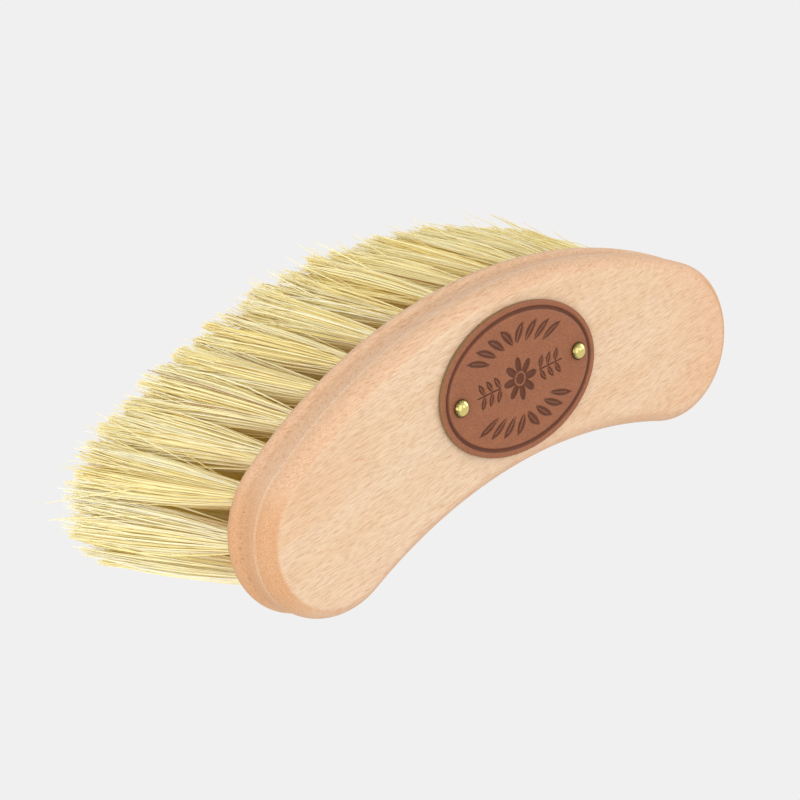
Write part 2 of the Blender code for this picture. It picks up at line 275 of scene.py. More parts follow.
def lay_mesh(name, points, faces, slot, finish, marks=None):
    """A smooth-shaded piece from its points and faces, given as arrays.

    faces is a list of arrays, each with one row of point numbers per face. marks are named
    values, one for each point, for the finish to read.
    """
    mesh = bpy.data.meshes.new(name)
    corners = np.concatenate([np.asarray(group).ravel() for group in faces]).astype(np.int32)
    sizes = np.concatenate([np.full(len(group), len(group[0])) for group in faces])
    starts = (np.cumsum(sizes) - sizes).astype(np.int32)
    mesh.vertices.add(len(points))
    mesh.vertices.foreach_set("co", np.asarray(points, np.float32).ravel())
    mesh.loops.add(len(corners))
    mesh.loops.foreach_set("vertex_index", corners)
    mesh.polygons.add(len(sizes))
    mesh.polygons.foreach_set("loop_start", starts)
    for mark, values in (marks or {}).items():
        layer = mesh.attributes.new(mark, "FLOAT", "POINT")
        layer.data.foreach_set("value", np.asarray(values, np.float32).ravel())
    mesh.update(calc_edges=True)
    mesh.validate()
    mesh.shade_smooth()
    mesh.materials.append(finish)
    piece = bpy.data.objects.new(name, mesh)
    bpy.context.scene.collection.objects.link(piece)
    if slot:
        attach(piece, "root")
    return piece


def belt_faces(rows, columns):
    """Four-cornered faces of a grid whose columns close in a ring: rows x columns points."""
    here = np.arange(columns)
    after = (here + 1) % columns
    low = np.arange(rows - 1)[:, None] * columns
    high = low + columns
    return np.stack([low + here, low + after, high + after, high + here], -1).reshape(-1, 4)


def fan_faces(ring, pole, upwards):
    """Triangles from a ring of point numbers to a pole, facing up or down."""
    ring = np.asarray(ring)
    after = np.roll(ring, -1)
    middle = np.full(len(ring), pole)
    pair = (ring, after) if upwards else (after, ring)
    return np.stack([*pair, middle], -1)


def tube_faces(count, rows, columns):
    """Faces of closed tubes that follow one another: their sides and the flat ends of each."""
    first = np.arange(count)[:, None] * rows * columns
    sides = (belt_faces(rows, columns) + first[..., None]).reshape(-1, 4)
    bottoms = np.arange(columns)[::-1] + first
    tops = np.arange((rows - 1) * columns, rows * columns) + first
    return [sides, bottoms, tops]


def domed_faces(rows, columns):
    """Faces of a grid closed at both ends by fans to two poles, the lower pole first."""
    last = (rows - 1) * columns
    return [
        belt_faces(rows, columns),
        fan_faces(np.arange(columns), rows * columns, False),
        fan_faces(np.arange(last, last + columns), rows * columns + 1, True),
    ]


def rays(count):
    """Directions evenly round a circle, counter-clockwise from X: (cos t, sin t)."""
    turn = np.arange(count) * math.tau / count
    return np.stack([np.cos(turn), np.sin(turn)], -1)


def lift(flat, height):
    """Flat places on a grid and the height of each row or place, as one array of points."""
    height = np.broadcast_to(height, flat.shape[:2])
    return np.concatenate([flat, height[..., None]], -1)


def flat_middle(low, high):
    """The middle of a box seen from above."""
    return np.array([(low.x + high.x) / 2, (low.y + high.y) / 2])


# Block

def arc_run(centre, radius, start, end, bulge, steps):
    """One arc of the outline as arrays: centre, radius, bulge and the ray of every station.

    Station k of n stands at the angle start + (end - start) k / n.
    """
    angle = start + (end - start) * np.arange(steps) / steps
    ray = np.stack([np.cos(angle), np.sin(angle)], -1)
    return np.tile(centre, (steps, 1)), np.full(steps, radius), np.full(steps, bulge), ray


def block_stations(crest):
    """The block's outline, counter-clockwise from the back, as one run of stations.

    The convex arc's centre lies on the Y axis at a distance R below the crest, where
    R = (e^2 + k^2 - r^2) / (2 (k - r)) for an end circle of radius r, e along and k below the
    crest. The concave arc has the same form with h = width - k in place of k, turned over.
    """
    along, drop = BLOCK_LENGTH / 2 - END_RADIUS, BLOCK_WIDTH / 2 + BLOCK_BOW
    rise = BLOCK_WIDTH - drop
    spare = along**2 - END_RADIUS**2
    outer = (spare + drop**2) / (2 * (drop - END_RADIUS))
    inner = (spare + rise**2) / (2 * (END_RADIUS - rise))
    outer_centre, inner_centre = (0, crest - outer), (0, crest - BLOCK_WIDTH - inner)
    right, left = (along, crest - drop), (-along, crest - drop)
    outer_angle = math.atan2(outer - drop, along)
    inner_angle = math.atan2(BLOCK_WIDTH + inner - drop, along)
    runs = [
        arc_run(outer_centre, outer, outer_angle, math.pi - outer_angle, 1, STEPS_LONG),
        arc_run(left, END_RADIUS, math.pi - outer_angle, math.tau - inner_angle, 1, STEPS_END),
        arc_run(inner_centre, inner, math.pi - inner_angle, inner_angle, -1, STEPS_LONG),
        arc_run(right, END_RADIUS, inner_angle - math.pi, outer_angle, 1, STEPS_END),
    ]
    return [np.concatenate(part) for part in zip(*runs)]


def edge_rows(thickness):
    """The moulded edge as arrays of inset and height above the underside.

    Bead: a circle of radius b from -90 to 45 degrees, its centre b inside the outline.
    Cove: a straight run from the bead to the lip, less a hollow of depth d sin(pi q^0.6) at
    its share q. Shoulder: a quarter of an ellipse that ends level with the back. The run is
    then cut into even steps and averaged over a short window, as sanding rounds its lips.
    """
    bead = np.radians(np.linspace(*BEAD_TURN, BEAD_STEPS))
    share = np.linspace(0, 1, COVE_STEPS)[1:]
    turn = np.radians(90 * np.linspace(0, 1, SHOULDER_STEPS)[1:] ** SHOULDER_SKEW)
    top = thickness - LIP_HEIGHT
    bead_inset = BEAD_RADIUS - BEAD_RADIUS * np.cos(bead)
    bead_height = BEAD_RADIUS + BEAD_RADIUS * np.sin(bead)
    inset = np.concatenate([
        [BEAD_RADIUS + 2 * BACK_BORDER],
        bead_inset,
        bead_inset[-1] + (LIP_INSET - bead_inset[-1]) * share
        + COVE_DEPTH * np.sin(math.pi * share**COVE_SKEW),
        LIP_INSET + SHOULDER_REACH - SHOULDER_REACH * np.cos(turn),
        [LIP_INSET + SHOULDER_REACH + BACK_BORDER],
    ])
    height = np.concatenate([
        [0.0],
        bead_height,
        bead_height[-1] + (LIP_HEIGHT - bead_height[-1]) * share,
        LIP_HEIGHT + top * np.sin(turn),
        [thickness],
    ])
    run = np.append(0, np.cumsum(np.hypot(np.diff(inset), np.diff(height))))
    even = np.linspace(0, run[-1], EDGE_STEPS)
    window = np.hanning(EDGE_WINDOW + 2)[1:-1]
    window = window / window.sum()
    keep = np.clip(np.minimum(even - even[0], even[-1] - even) / EDGE_CALM - 0.5, 0, 1)
    rounded = []
    for values in (inset, height):
        values = np.interp(even, run, values)
        calm = np.convolve(np.pad(values, EDGE_WINDOW // 2, mode="edge"), window, "valid")
        rounded.append(values * (1 - keep) + calm * keep)
    return rounded


def hole_pegs(tufts):
    """One closed peg for every bristle hole, all in a single mesh that cuts the block.

    A peg is a circle of the hole's radius carried from just under the block to the hole's
    bottom along the tuft's own lean: place = mouth + lean (height / depth).
    """
    circle = np.pad(rays(HOLE_SIDES), ((0, 0), (0, 1))) * HOLE_RADIUS
    share = np.array([PEG_START, 1.0])[None, :, None, None]
    mouth, lean = tufts[:, None, None, 0], tufts[:, None, None, 1] * -HOLE_DEPTH
    points = (mouth + share * lean + circle).reshape(-1, 3)
    return lay_mesh("hole_pegs", points, tube_faces(len(tufts), 2, HOLE_SIDES), None, beech)


def make_block(stations, tufts):
    """The block: its moulded edge carried round the outline, then bored for the tufts.

    A point is centre + ray (radius - bulge inset) at its height, for each row and station.
    """
    low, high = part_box("block")
    centre, radius, bulge, ray = stations
    inset, height = edge_rows(high.z - low.z)
    reach = radius - bulge * inset[:, None]
    points = lift(centre + ray * reach[..., None], (low.z + height)[:, None])
    faces = tube_faces(1, *points.shape[:2])
    block = lay_mesh("beech_block", points.reshape(-1, 3), faces, "wood", beech)
    pegs = hole_pegs(tufts)
    bore = block.modifiers.new("bore", "BOOLEAN")
    bore.operation = "DIFFERENCE"
    bore.solver = "EXACT"
    bore.object = pegs
    graph = bpy.context.evaluated_depsgraph_get()
    bored = bpy.data.meshes.new_from_object(block.evaluated_get(graph), depsgraph=graph)
    block.modifiers.clear()
    block.data = bored
    bpy.data.objects.remove(pegs)
    bored.materials.clear()
    bored.materials.append(beech)
    bored.shade_smooth()
    bored.set_sharp_from_angle(angle=EDGE_SHARP)
    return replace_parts(block, "block")


# Bristles

def read_tufts(names):
    """Mouth and slope of every tuft, from the lowest and highest levels of its own solid.

    The slope is how far the tuft moves for each metre down from its mouth.
    """
    found = []
    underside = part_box("block")[0].z
    for name in names:
        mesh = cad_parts[name].data
        spots = np.empty(len(mesh.vertices) * 3)
        mesh.vertices.foreach_get("co", spots)
        spots = spots.reshape(-1, 3)
        level = spots[:, 2]
        top = spots[level > level.max() - LEVEL_TOLERANCE].mean(0)
        tip = spots[level < LEVEL_TOLERANCE].mean(0)
        slope = (tip - top) / (top[2] - tip[2])
        mouth = top + slope * (top[2] - underside)
        found.append((mouth, slope))
    return np.array(found)


def scatter(rng, count):
    """Places spread evenly over a disc of radius 1: sqrt(u) (cos t, sin t)."""
    turn = rng.uniform(0, math.tau, count)
    return np.sqrt(rng.uniform(0, 1, (count, 1))) * np.stack([np.cos(turn), np.sin(turn)], -1)


def outward_way(mouth, stations):
    """The way from a hole to the outline, at the outline's nearest station."""
    centre, radius, bulge, ray = stations
    edge = centre + ray * radius[:, None]
    nearest = np.linalg.norm(edge - mouth[:2], axis=-1).argmin()
    return ray[nearest] * bulge[nearest]


def fibre_lengths(rng, lock, longest):
    """A length for each fibre: the longest, less a trim and its own and its lock's raggedness.

    A few fibres are left long, and a few are broken off short.
    """
    count = len(lock)
    short = TIP_TRIM + np.abs(rng.normal(0, TIP_RAGGEDNESS, count))
    short = short + np.abs(rng.normal(0, LOCK_RAGGEDNESS, LOCKS))[lock]
    luck = rng.uniform(0, 1, count)
    short = np.where(luck < LONG_SHARE, short * rng.uniform(0, 1, count), short)
    broken = rng.uniform(*BROKEN_RANGE, count) * LOCK_RAGGEDNESS
    return longest - np.where(luck > 1 - BROKEN_SHARE, broken, short)


def fibre_aims(rng, count):
    """Start and end of each fibre on discs of radius 1, and the lock that it belongs to.

    Its lock is the one nearest to its start. Its end is start (1 - p) + lock p with a little
    chance, and a few ends stray far out.
    """
    begin = scatter(rng, count)
    centres = scatter(rng, LOCKS) * LOCK_REACH
    lock = np.linalg.norm(begin[:, None] - centres, axis=-1).argmin(1)
    end = begin * (1 - LOCK_SHARE) + centres[lock] * LOCK_SHARE
    end = end + rng.normal(0, END_CHANCE, (count, 2))
    stray = rng.uniform(0, 1, (count, 1)) > 1 - STRAY_SHARE
    end = np.where(stray, scatter(rng, count) * STRAY_REACH, end) * rng.normal(1, FAN_CHANCE)
    return begin, end, lock


def fibre_tones(rng, lock, depth):
    """A tone from 0 to 1 for each fibre: its own, its lock's and its tuft's, less painted shade by
    depth.

    A few fibres are dark, at 0.
    """
    count = len(lock)
    tone = rng.normal(TONE_MIDDLE, TONE_CHANCE, count)
    tone = tone + rng.normal(0, LOCK_TONE_CHANCE, LOCKS)[lock]
    tone = tone + rng.normal(0, TUFT_TONE_CHANCE)
    # Fibres deep in the tuft take a darker tone, a painted shade
    tone = np.clip(tone - DEEP_SHADE_DROP * depth, TONE_LEAST, 1)
    return np.where(rng.uniform(0, 1, count) > 1 - DARK_SHARE, 0.0, tone)


def ring_fans(names, tufts):
    """How far each fan reaches along the ring: a share of the way to the next tufts' tips."""
    mouth, slope = tufts[:, 0], tufts[:, 1]
    tips = (mouth + slope * mouth[:, 2:])[:, :2]
    outer = np.array([name.startswith("tuft_ring") for name in names])
    ring = tips[outer]
    steps = np.linalg.norm(ring - np.roll(ring, -1, 0), axis=-1)
    fans = np.full(len(names), FAN_ALONG)
    fans[outer] = np.maximum(FAN_ALONG, FAN_OVERLAP_SHARE * (steps + np.roll(steps, 1)) / 2)
    return fans


def make_tuft(name, mouth, slope, out, fan, seed):
    """One bundle of fibres, packed at the hole and fanned into locks at its tips.

    A fibre's centre line is mouth + slope d + begin (1 - p) + end p + bend sin(pi s) + a small
    chance times s, where s is its share of the fibre's length, p = s^1.32 and d is the depth
    below the mouth. Three corners stand round that line at each of seven stations.
    """
    rng = np.random.default_rng(seed)
    outer = name.startswith("tuft_ring")
    count = OUTER_FIBRES if outer else INNER_FIBRES
    begin, end, lock = fibre_aims(rng, count)
    length = fibre_lengths(rng, lock, mouth[2])
    share = np.array((-ROOT_DEPTH / mouth[2], *FIBRE_STATIONS))
    inside = np.clip(share, 0, 1)[:, None]
    axes = np.array([[-out[1], out[0]], out])
    begin, end = begin * PACK_RADIUS, end * (fan, FAN_ACROSS)
    bend = rng.normal(0, FIBRE_BEND, (count, 2)) + rng.normal(0, LOCK_BEND, (LOCKS, 2))[lock]
    spread = inside**SPREAD_POWER
    side = begin[:, None] * (1 - spread) + end[:, None] * spread
    side = side + bend[:, None] * np.sin(math.pi * inside)
    side = side + rng.normal(0, FIBRE_WOBBLE, (count, len(share), 2)) * inside
    centre = np.pad(side @ axes, ((0, 0), (0, 0), (0, 1)))
    centre = centre + mouth + slope * (length[:, None] * share)[..., None]
    thick = FIBRE_RADIUS * rng.uniform(*FIBRE_THICKNESS, count)[:, None]
    thick = thick * np.interp(share, *FIBRE_TAPER)
    roll = rng.uniform(0, math.tau, count)[:, None]
    roll = roll + np.arange(FIBRE_SIDES) * math.tau / FIBRE_SIDES
    corner = np.stack([np.cos(roll), -np.sin(roll), 0 * roll], -1)
    points = (centre[:, :, None] + thick[..., None, None] * corner[:, None]).reshape(-1, 3)
    points[:, 2] = np.maximum(points[:, 2], TIP_CLEARANCE)
    # Depth in the tuft and how buried a fibre is drive its painted shade
    depth = 1 - np.sum((begin / PACK_RADIUS) ** 2, axis=-1)
    tone = fibre_tones(rng, lock, depth)
    buried = BURIED_MIDDLE - BURIED_SLOPE * begin[:, 1] / PACK_RADIUS if outer else np.ones(count)
    corners = len(share) * FIBRE_SIDES
    marks = {
        "tone": np.repeat(tone, corners),
        "along": np.tile(np.repeat(inside[:, 0], FIBRE_SIDES), count),
        "buried": np.repeat(np.clip(buried, 0, 1), corners),
        "deep": np.repeat(depth, corners),
    }
    faces = tube_faces(count, len(share), FIBRE_SIDES)
    tuft = lay_mesh(f"fibres_{name}", points, faces, "fibre", straw, marks)
    tuft.data.shade_flat()
    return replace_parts(tuft, name)


# Badge and nails

def badge_rows(thickness):
    """The badge's edge and rim as arrays of inset, height and two marks for its finish.

    From the bottom up the cut edge, a rounded corner, the flat rim and the pressed groove. The
    corner is a quarter circle of radius r: inset r - r cos t, height r sin t above its foot.
    """
    turn = np.radians(np.linspace(0, 90, len(CORNER_CUTS)))
    foot, bed = thickness - BADGE_ROUNDING, thickness - BADGE_GROOVE_DEPTH
    outer, inner, slope = BADGE_RIM, BADGE_RIM + BADGE_GROOVE, BADGE_GROOVE_SLOPE
    corner = zip(BADGE_ROUNDING - BADGE_ROUNDING * np.cos(turn),
                 foot + BADGE_ROUNDING * np.sin(turn), 0 * turn, CORNER_CUTS)
    # Inset, height, share pressed, share cut
    rows = [
        (0.0002, 0.0, 0, 1),
        (0.0, 0.0001, 0, 1),
        (0.0, thickness * 0.35, 0, 1),
        (0.0, foot - 0.0001, 0, 1),
        *corner,
        (outer * 0.4, thickness, 0, 0),
        (outer * 0.75, thickness - 0.00002, 0, 0),
        (outer - 0.0001, thickness - 0.00006, 0, 0),
        (outer, thickness - 0.00014, 0.35, 0),
        (outer + slope, bed + 0.00006, 1, 0),
        (outer + slope * 1.6, bed, 1, 0),
        (inner - slope * 1.6, bed, 1, 0),
        (inner - slope, bed + 0.00006, 1, 0),
        (inner, thickness - 0.00016, 0.35, 0),
        (inner + 0.00012, thickness - 0.00005, 0, 0),
        (inner + 0.0007, thickness, 0, 0),
        (inner + 0.0020, thickness, 0, 0),
    ]
    return np.array(rows, float).T


def smooth(value, low, high):
    """A smooth step from 0 below low to 1 above high: q^2 (3 - 2 q) of the share q between."""
    share = np.clip((value - low) / (high - low), 0, 1)
    return share * share * (3 - 2 * share)


def leaf(along, across, length, width):
    """A leaf with a raised midrib: |across| < w (1 - (along / l)^2), less a thin line along it."""
    blade = width * (1 - (along / length) ** 2) - np.abs(across)
    rib = smooth(np.abs(across), RIB_WIDTH / 2, RIB_WIDTH)
    return smooth(blade, *LEAF_EDGE) * np.where(along < length * RIB_SHARE, rib, 1)


def rosette(x, y):
    """Eight petals round a ringed eye: r < a + b |cos 4t|, less a ring at radius e."""
    reach, turn = np.hypot(x, y), np.arctan2(y, x)
    edge = ROSETTE_BODY + PETAL_LENGTH * np.abs(np.cos(PETALS / 2 * turn))
    ring = smooth(np.abs(reach - ROSETTE_EYE), *EYE_RING)
    return smooth(edge - reach, 0, PETAL_EDGE) * ring


def sprigs(x, y):
    """A stem to each side with paired leaves that slant outwards, folded on both axes."""
    step = (np.abs(x) - SPRIG_START) / LEAF_STEP
    along = (step - np.floor(step) - LEAF_ROOT) * LEAF_STEP
    out = np.abs(y) - LEAF_OUT
    blades = leaf(along * SLANT[0] + out * SLANT[1], along * SLANT[1] - out * SLANT[0],
                  LEAF_LENGTH, LEAF_WIDTH)
    stem = 1 - smooth(np.abs(y), *STEM_EDGE)
    return np.maximum(blades, stem) * (step > 0) * (step < SPRIG_PAIRS)


def wreath(x, y):
    """Slanted leaves along the top and bottom of an oval, mirrored about the short axis.

    A place is t = the angle round the oval from its short axis times the oval's long half,
    and q = the distance outside the oval; the leaves repeat along t.
    """
    half_long, half_short = WREATH_HALVES
    oval = np.hypot(x / half_long, y / half_short)
    angle = np.arctan2(np.abs(x) / half_long, np.abs(y) / half_short)
    step = angle * half_long / WREATH_STEP
    along = (step - np.floor(step) - 0.5) * WREATH_STEP
    across = (oval - 1) * half_short
    blades = leaf(along * SLANT[0] + across * SLANT[1], along * SLANT[1] - across * SLANT[0],
                  LEAF_LENGTH * WREATH_SIZE_SHARE, LEAF_WIDTH * WREATH_SIZE_SHARE)
    return blades * (step < WREATH_LEAVES)


def make_badge(nails):
    """The leather badge: rows parallel to an ellipse, then rows that shrink to its middle.

    An outer row is the ellipse less inset times its outward normal. An inner row is the last
    of these times a share from 1 to 0. The leather sinks by d exp(-(q / w)^2) round a nail
    and by a fixed depth where the ornament is pressed.
    """
    low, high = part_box("leather_badge")
    thickness = high.z - low.z
    middle = flat_middle(low, high)
    half = np.array([BADGE_LENGTH, BADGE_WIDTH]) / 2
    circle = rays(BADGE_STATIONS)
    normal = circle / half
    normal = normal / np.linalg.norm(normal, axis=-1, keepdims=True)
    inset, height, pressed, cut = badge_rows(thickness)
    outer = circle * half - inset[:, None, None] * normal
    share = np.linspace(1, 0, BADGE_ROWS)[1:-1]
    flat = np.concatenate([outer, outer[-1] * share[:, None, None]])
    level = np.append(height, np.full(len(share), thickness))[:, None]
    ornament = np.maximum(np.maximum(rosette(*flat.T), sprigs(*flat.T)), wreath(*flat.T)).T
    ornament[: len(inset)] = 0
    eye = ornament[-1].mean()
    cosine, sine = math.cos(BADGE_TURN), math.sin(BADGE_TURN)
    flat = flat @ np.array([[cosine, sine], [-sine, cosine]]) + middle
    dent = ORNAMENT_DEPTH * ornament
    for nail in nails:
        away = np.linalg.norm(flat - nail[:2], axis=-1)
        dent = dent + NAIL_DIMPLE * np.exp(-((away / NAIL_DIMPLE_REACH) ** 2))
    points = lift(flat, low.z + level - dent * (level > thickness * BADGE_TOP_SHARE))
    rows, columns = points.shape[:2]
    poles = np.array([[*middle, low.z], [*middle, high.z - ORNAMENT_DEPTH * eye]])
    points = np.concatenate([points.reshape(-1, 3), poles])
    rest = np.zeros(len(share))
    pressed = np.maximum(np.append(pressed, rest)[:, None], ornament)
    marks = {
        "pressed": np.append(pressed, (0, eye)),
        "cut": np.append(np.repeat(np.append(cut, rest), columns), (1, 0)),
    }
    faces = domed_faces(rows, columns)
    badge = lay_mesh("tooled_badge", points, faces, "leather", leather, marks)
    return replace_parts(badge, "leather_badge")


def make_nail(node):
    """A nail with a domed head: a profile of radius and height turned round its axis.

    The head is a circular cap over a thin brim, the shank a plain rod that ends in a cone. The
    cap's ball has the radius (h^2 + c^2) / 2c for a head of radius h that rises by c.
    """
    low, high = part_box(node)
    middle = flat_middle(low, high)
    head = (high.x - low.x) / 2
    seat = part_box("leather_badge")[1].z + NAIL_LIFT
    crown = high.z - seat - NAIL_BRIM
    ball = (head**2 + crown**2) / (2 * crown)
    dome = np.linspace(math.asin(head / ball), 0, DOME_STEPS)[:-1]
    # Radius and height
    profile = [
        (NAIL_SHANK_RADIUS * 0.5, low.z + NAIL_POINT / 2),
        (NAIL_SHANK_RADIUS, low.z + NAIL_POINT),
        (NAIL_SHANK_RADIUS, seat - NAIL_LIFT),
        (NAIL_SHANK_RADIUS, seat - 0.0001),
        (head * 0.96, seat - 0.0001),
        (head, seat + 0.00005),
        *zip(ball * np.sin(dome), high.z - ball + ball * np.cos(dome)),
    ]
    radius, level = np.array(profile).T
    points = lift(rays(NAIL_SIDES) * radius[:, None, None] + middle, level[:, None])
    rows, columns = points.shape[:2]
    poles = np.array([[*middle, low.z], [*middle, high.z]])
    # Share of the way to the crown, which keeps the painted dark reflection at the brim
    crown_share = np.append(np.repeat(np.clip(1 - radius / head, 0, 1), columns), (1, 1))
    points = np.concatenate([points.reshape(-1, 3), poles])
    faces = domed_faces(rows, columns)
    nail = lay_mesh(f"domed_{node}", points, faces, "brass", brass, {"crown": crown_share})
    nail.data.set_sharp_from_angle(angle=NAIL_SHARP)
    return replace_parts(nail, node), np.array([*middle, high.z])


# Node helpers

def new_group(name, inputs, outputs):
    """An empty node group with named sockets, and its inner input and output nodes."""
    group = bpy.data.node_groups.new(name, "ShaderNodeTree")
    kinds = {"v": "NodeSocketVector", "f": "NodeSocketFloat", "c": "NodeSocketColor"}
    for label, kind in inputs:
        group.interface.new_socket(label, in_out="INPUT", socket_type=kinds[kind])
    for label, kind in outputs:
        group.interface.new_socket(label, in_out="OUTPUT", socket_type=kinds[kind])
    return group, group.nodes.new("NodeGroupInput"), group.nodes.new("NodeGroupOutput")


def put(tree, kind, settings=None, **sockets):
    """A node with its settings, its inputs set or linked as join does it."""
    node = tree.nodes.new(kind)
    for setting, value in (settings or {}).items():
        setattr(node, setting, value)
    return join(tree, node, **sockets)


def join(tree, node, **sockets):
    """Set each named input of a node to a value, or link it to another node's output."""
    for label, value in sockets.items():
        wire(tree, node, label.replace("_", " "), value)
    return node


def wire(tree, node, label, value):
    """Set or link one input, found by its name or, for numbered inputs, by its place."""
    socket = node.inputs[int(label)] if label.isdigit() else node.inputs[label]
    if isinstance(value, bpy.types.NodeSocket):
        tree.links.new(value, socket)
    else:
        socket.default_value = value


def reckon(tree, operation, first, second=0.0, third=0.0):
    """The output of a Math node."""
    node = put(tree, "ShaderNodeMath", {"operation": operation})
    for place, value in enumerate((first, second, third)):
        wire(tree, node, str(place), value)
    return node.outputs[0]


def times(tree, first, second):
    """The product of two values."""
    return reckon(tree, "MULTIPLY", first, second)


def away(tree, value, level):
    """How far a value is from a level, either way."""
    return reckon(tree, "ABSOLUTE", reckon(tree, "SUBTRACT", value, level))


def ease(tree, value, low, high, start=0.0, end=1.0):
    """A smooth step: start below low, end above high."""
    node = put(tree, "ShaderNodeMapRange", {"interpolation_type": "SMOOTHSTEP"}, Value=value,
               From_Min=low, From_Max=high, To_Min=start, To_Max=end)
    return node.outputs["Result"]


def blend(tree, share, first, second, mode="MIX"):
    """Two colours mixed by a share."""
    node = put(tree, "ShaderNodeMix", {"data_type": "RGBA", "blend_type": mode})
    for place, value in ((0, share), (6, first), (7, second)):
        wire(tree, node, str(place), value)
    return node.outputs[2]


def coats(tree, colour, *layers):
    """A colour under some layers, each a share and the colour that it brings."""
    for share, layer in layers:
        colour = blend(tree, share, colour, layer)
    return colour


def tint(tree, colour, red, green, blue):
    """A colour with each of its channels times a value."""
    grey = put(tree, "ShaderNodeCombineColor", Red=red, Green=green, Blue=blue)
    return blend(tree, 1.0, colour, grey.outputs["Color"], "MULTIPLY")


def stretch(tree, vector, scale, shift=(0.0, 0.0, 0.0), turn=(0.0, 0.0, 0.0)):
    """A vector turned, scaled and shifted by a Mapping node."""
    node = put(tree, "ShaderNodeMapping", Vector=vector, Location=shift, Rotation=turn,
               Scale=scale)
    return node.outputs["Vector"]


def cloud(tree, vector, scale, detail, rough):
    """Noise between 0 and 1."""
    node = put(tree, "ShaderNodeTexNoise", Vector=vector, Scale=scale, Detail=detail,
               Roughness=rough)
    return node.outputs["Fac"]


def grained(tree, vector, cells, detail, rough, shift=(0.0, 0.0, 0.0)):
    """Noise between 0 and 1 whose cells to the metre differ along, across and up."""
    return cloud(tree, stretch(tree, vector, cells, shift), 1.0, detail, rough)


def mark(tree, name):
    """The values that a piece's mesh holds under a name."""
    return put(tree, "ShaderNodeAttribute", {"attribute_name": name}).outputs["Fac"]


def new_material(name):
    """A material with its tree, its Principled shader and its Object coordinates."""
    made = bpy.data.materials.new(name)
    made.use_nodes = True
    tree = made.node_tree
    shader = tree.nodes["Principled BSDF"]
    place = tree.nodes.new("ShaderNodeTexCoord")
    return made, tree, shader, place


def bump(tree, height, distance):
    """The normal of a Bump node for a height between 0 and 1 and its size in metres."""
    return put(tree, "ShaderNodeBump", Height=height, Distance=distance).outputs["Normal"]


def shade(made, viewport):
    """Give a material the plain colour that it shows outside the renderer."""
    made.diffuse_color = viewport
    return made


# Finishes

def make_fleck_group():
    """Short spindles scattered in the wood: cells of a stretched Voronoi, most of them left out.

    A spindle eases out where the distance from its cell's middle nears its size times a chance.
    """
    group, given, result = new_group(
        "wood_flecks", [("Vector", "v"), ("Scarcity", "f"), ("Size", "f")], [("Mask", "f")]
    )
    cell = put(group, "ShaderNodeTexVoronoi", {"feature": "F1"}, Vector=given.outputs["Vector"],
               Scale=1.0, Randomness=1.0).outputs
    luck = put(group, "ShaderNodeSeparateColor", Color=cell["Color"]).outputs
    size = reckon(group, "MULTIPLY_ADD", given.outputs["Size"], luck["Green"], 0.12)
    near = reckon(group, "DIVIDE", cell["Distance"], size)
    spare = reckon(group, "SUBTRACT", luck["Red"], given.outputs["Scarcity"])
    kept = reckon(group, "GREATER_THAN", spare, 0.0)
    depth = reckon(group, "MULTIPLY_ADD", luck["Blue"], 0.55, 0.45)
    mask = times(group, times(group, ease(group, near, 0.45, 1.0, 1.0, 0.0), kept), depth)
    join(group, result, Mask=mask)
    return group


def lay_grain(group, place):
    """Places in the wood, swayed a little by slow noise and turned to run with the grain."""
    drift = put(group, "ShaderNodeTexNoise", Vector=stretch(group, place, DRIFT_CELLS),
                Scale=1.0, Detail=1.0)
    sway = put(group, "ShaderNodeVectorMath", {"operation": "MULTIPLY_ADD"})
    for number, value in enumerate((drift.outputs["Color"], GRAIN_SWAY, place)):
        wire(group, sway, str(number), value)
    return stretch(group, sway.outputs["Vector"], (1, 1, 1), turn=(0.0, 0.0, -GRAIN_TURN))


def side_masks(group, facing):
    """Where the surface stands upright, and where it also cuts across the grain.

    The second is the first times an eased |x| / sqrt(1 - z^2) of the surface's facing.
    """
    way = put(group, "ShaderNodeSeparateXYZ", Vector=facing).outputs
    upright = ease(group, reckon(group, "ABSOLUTE", way["Z"]), 0.90, 0.992, 1.0, 0.0)
    rest = reckon(group, "SUBTRACT", 1.0, times(group, way["Z"], way["Z"]))
    level = reckon(group, "SQRT", reckon(group, "MAXIMUM", rest, 0.0001))
    end = reckon(group, "DIVIDE", reckon(group, "ABSOLUTE", way["X"]), level)
    return upright, times(group, ease(group, end, 0.45, 0.95), upright)


def edge_masks(group, height, hollow_level, lip_level, end):
    """Three lines of the moulded edge, by their height: its hollow, a painted highlight along its
    lip, and its pores.

    Each is 1 at its own level and eases out above and below. The painted lip highlight also
    takes a share of the slope under it, and less on end grain.
    """
    hollow = ease(group, away(group, height, hollow_level), 0.0002, 0.0015, 1.0, 0.0)
    above = reckon(group, "SUBTRACT", height, lip_level)
    # The lip mask is a painted highlight: a pale line at the lip and a paler slope under it
    lip = ease(group, away(group, height, lip_level), 0.0001, 0.0012, 1.0, 0.0)
    slope = times(group, ease(group, above, -0.0050, -0.0022, 0.0, 0.4),
                  ease(group, above, -0.0002, 0.0008, 1.0, 0.0))
    lip = reckon(group, "MAXIMUM", lip, slope)
    lip = times(group, lip, ease(group, end, 0.2, 0.9, 1.0, 0.7))
    seam = ease(group, away(group, above, -SEAM_DROP), 0.0003, 0.0010, 1.0, 0.0)
    return hollow, lip, seam


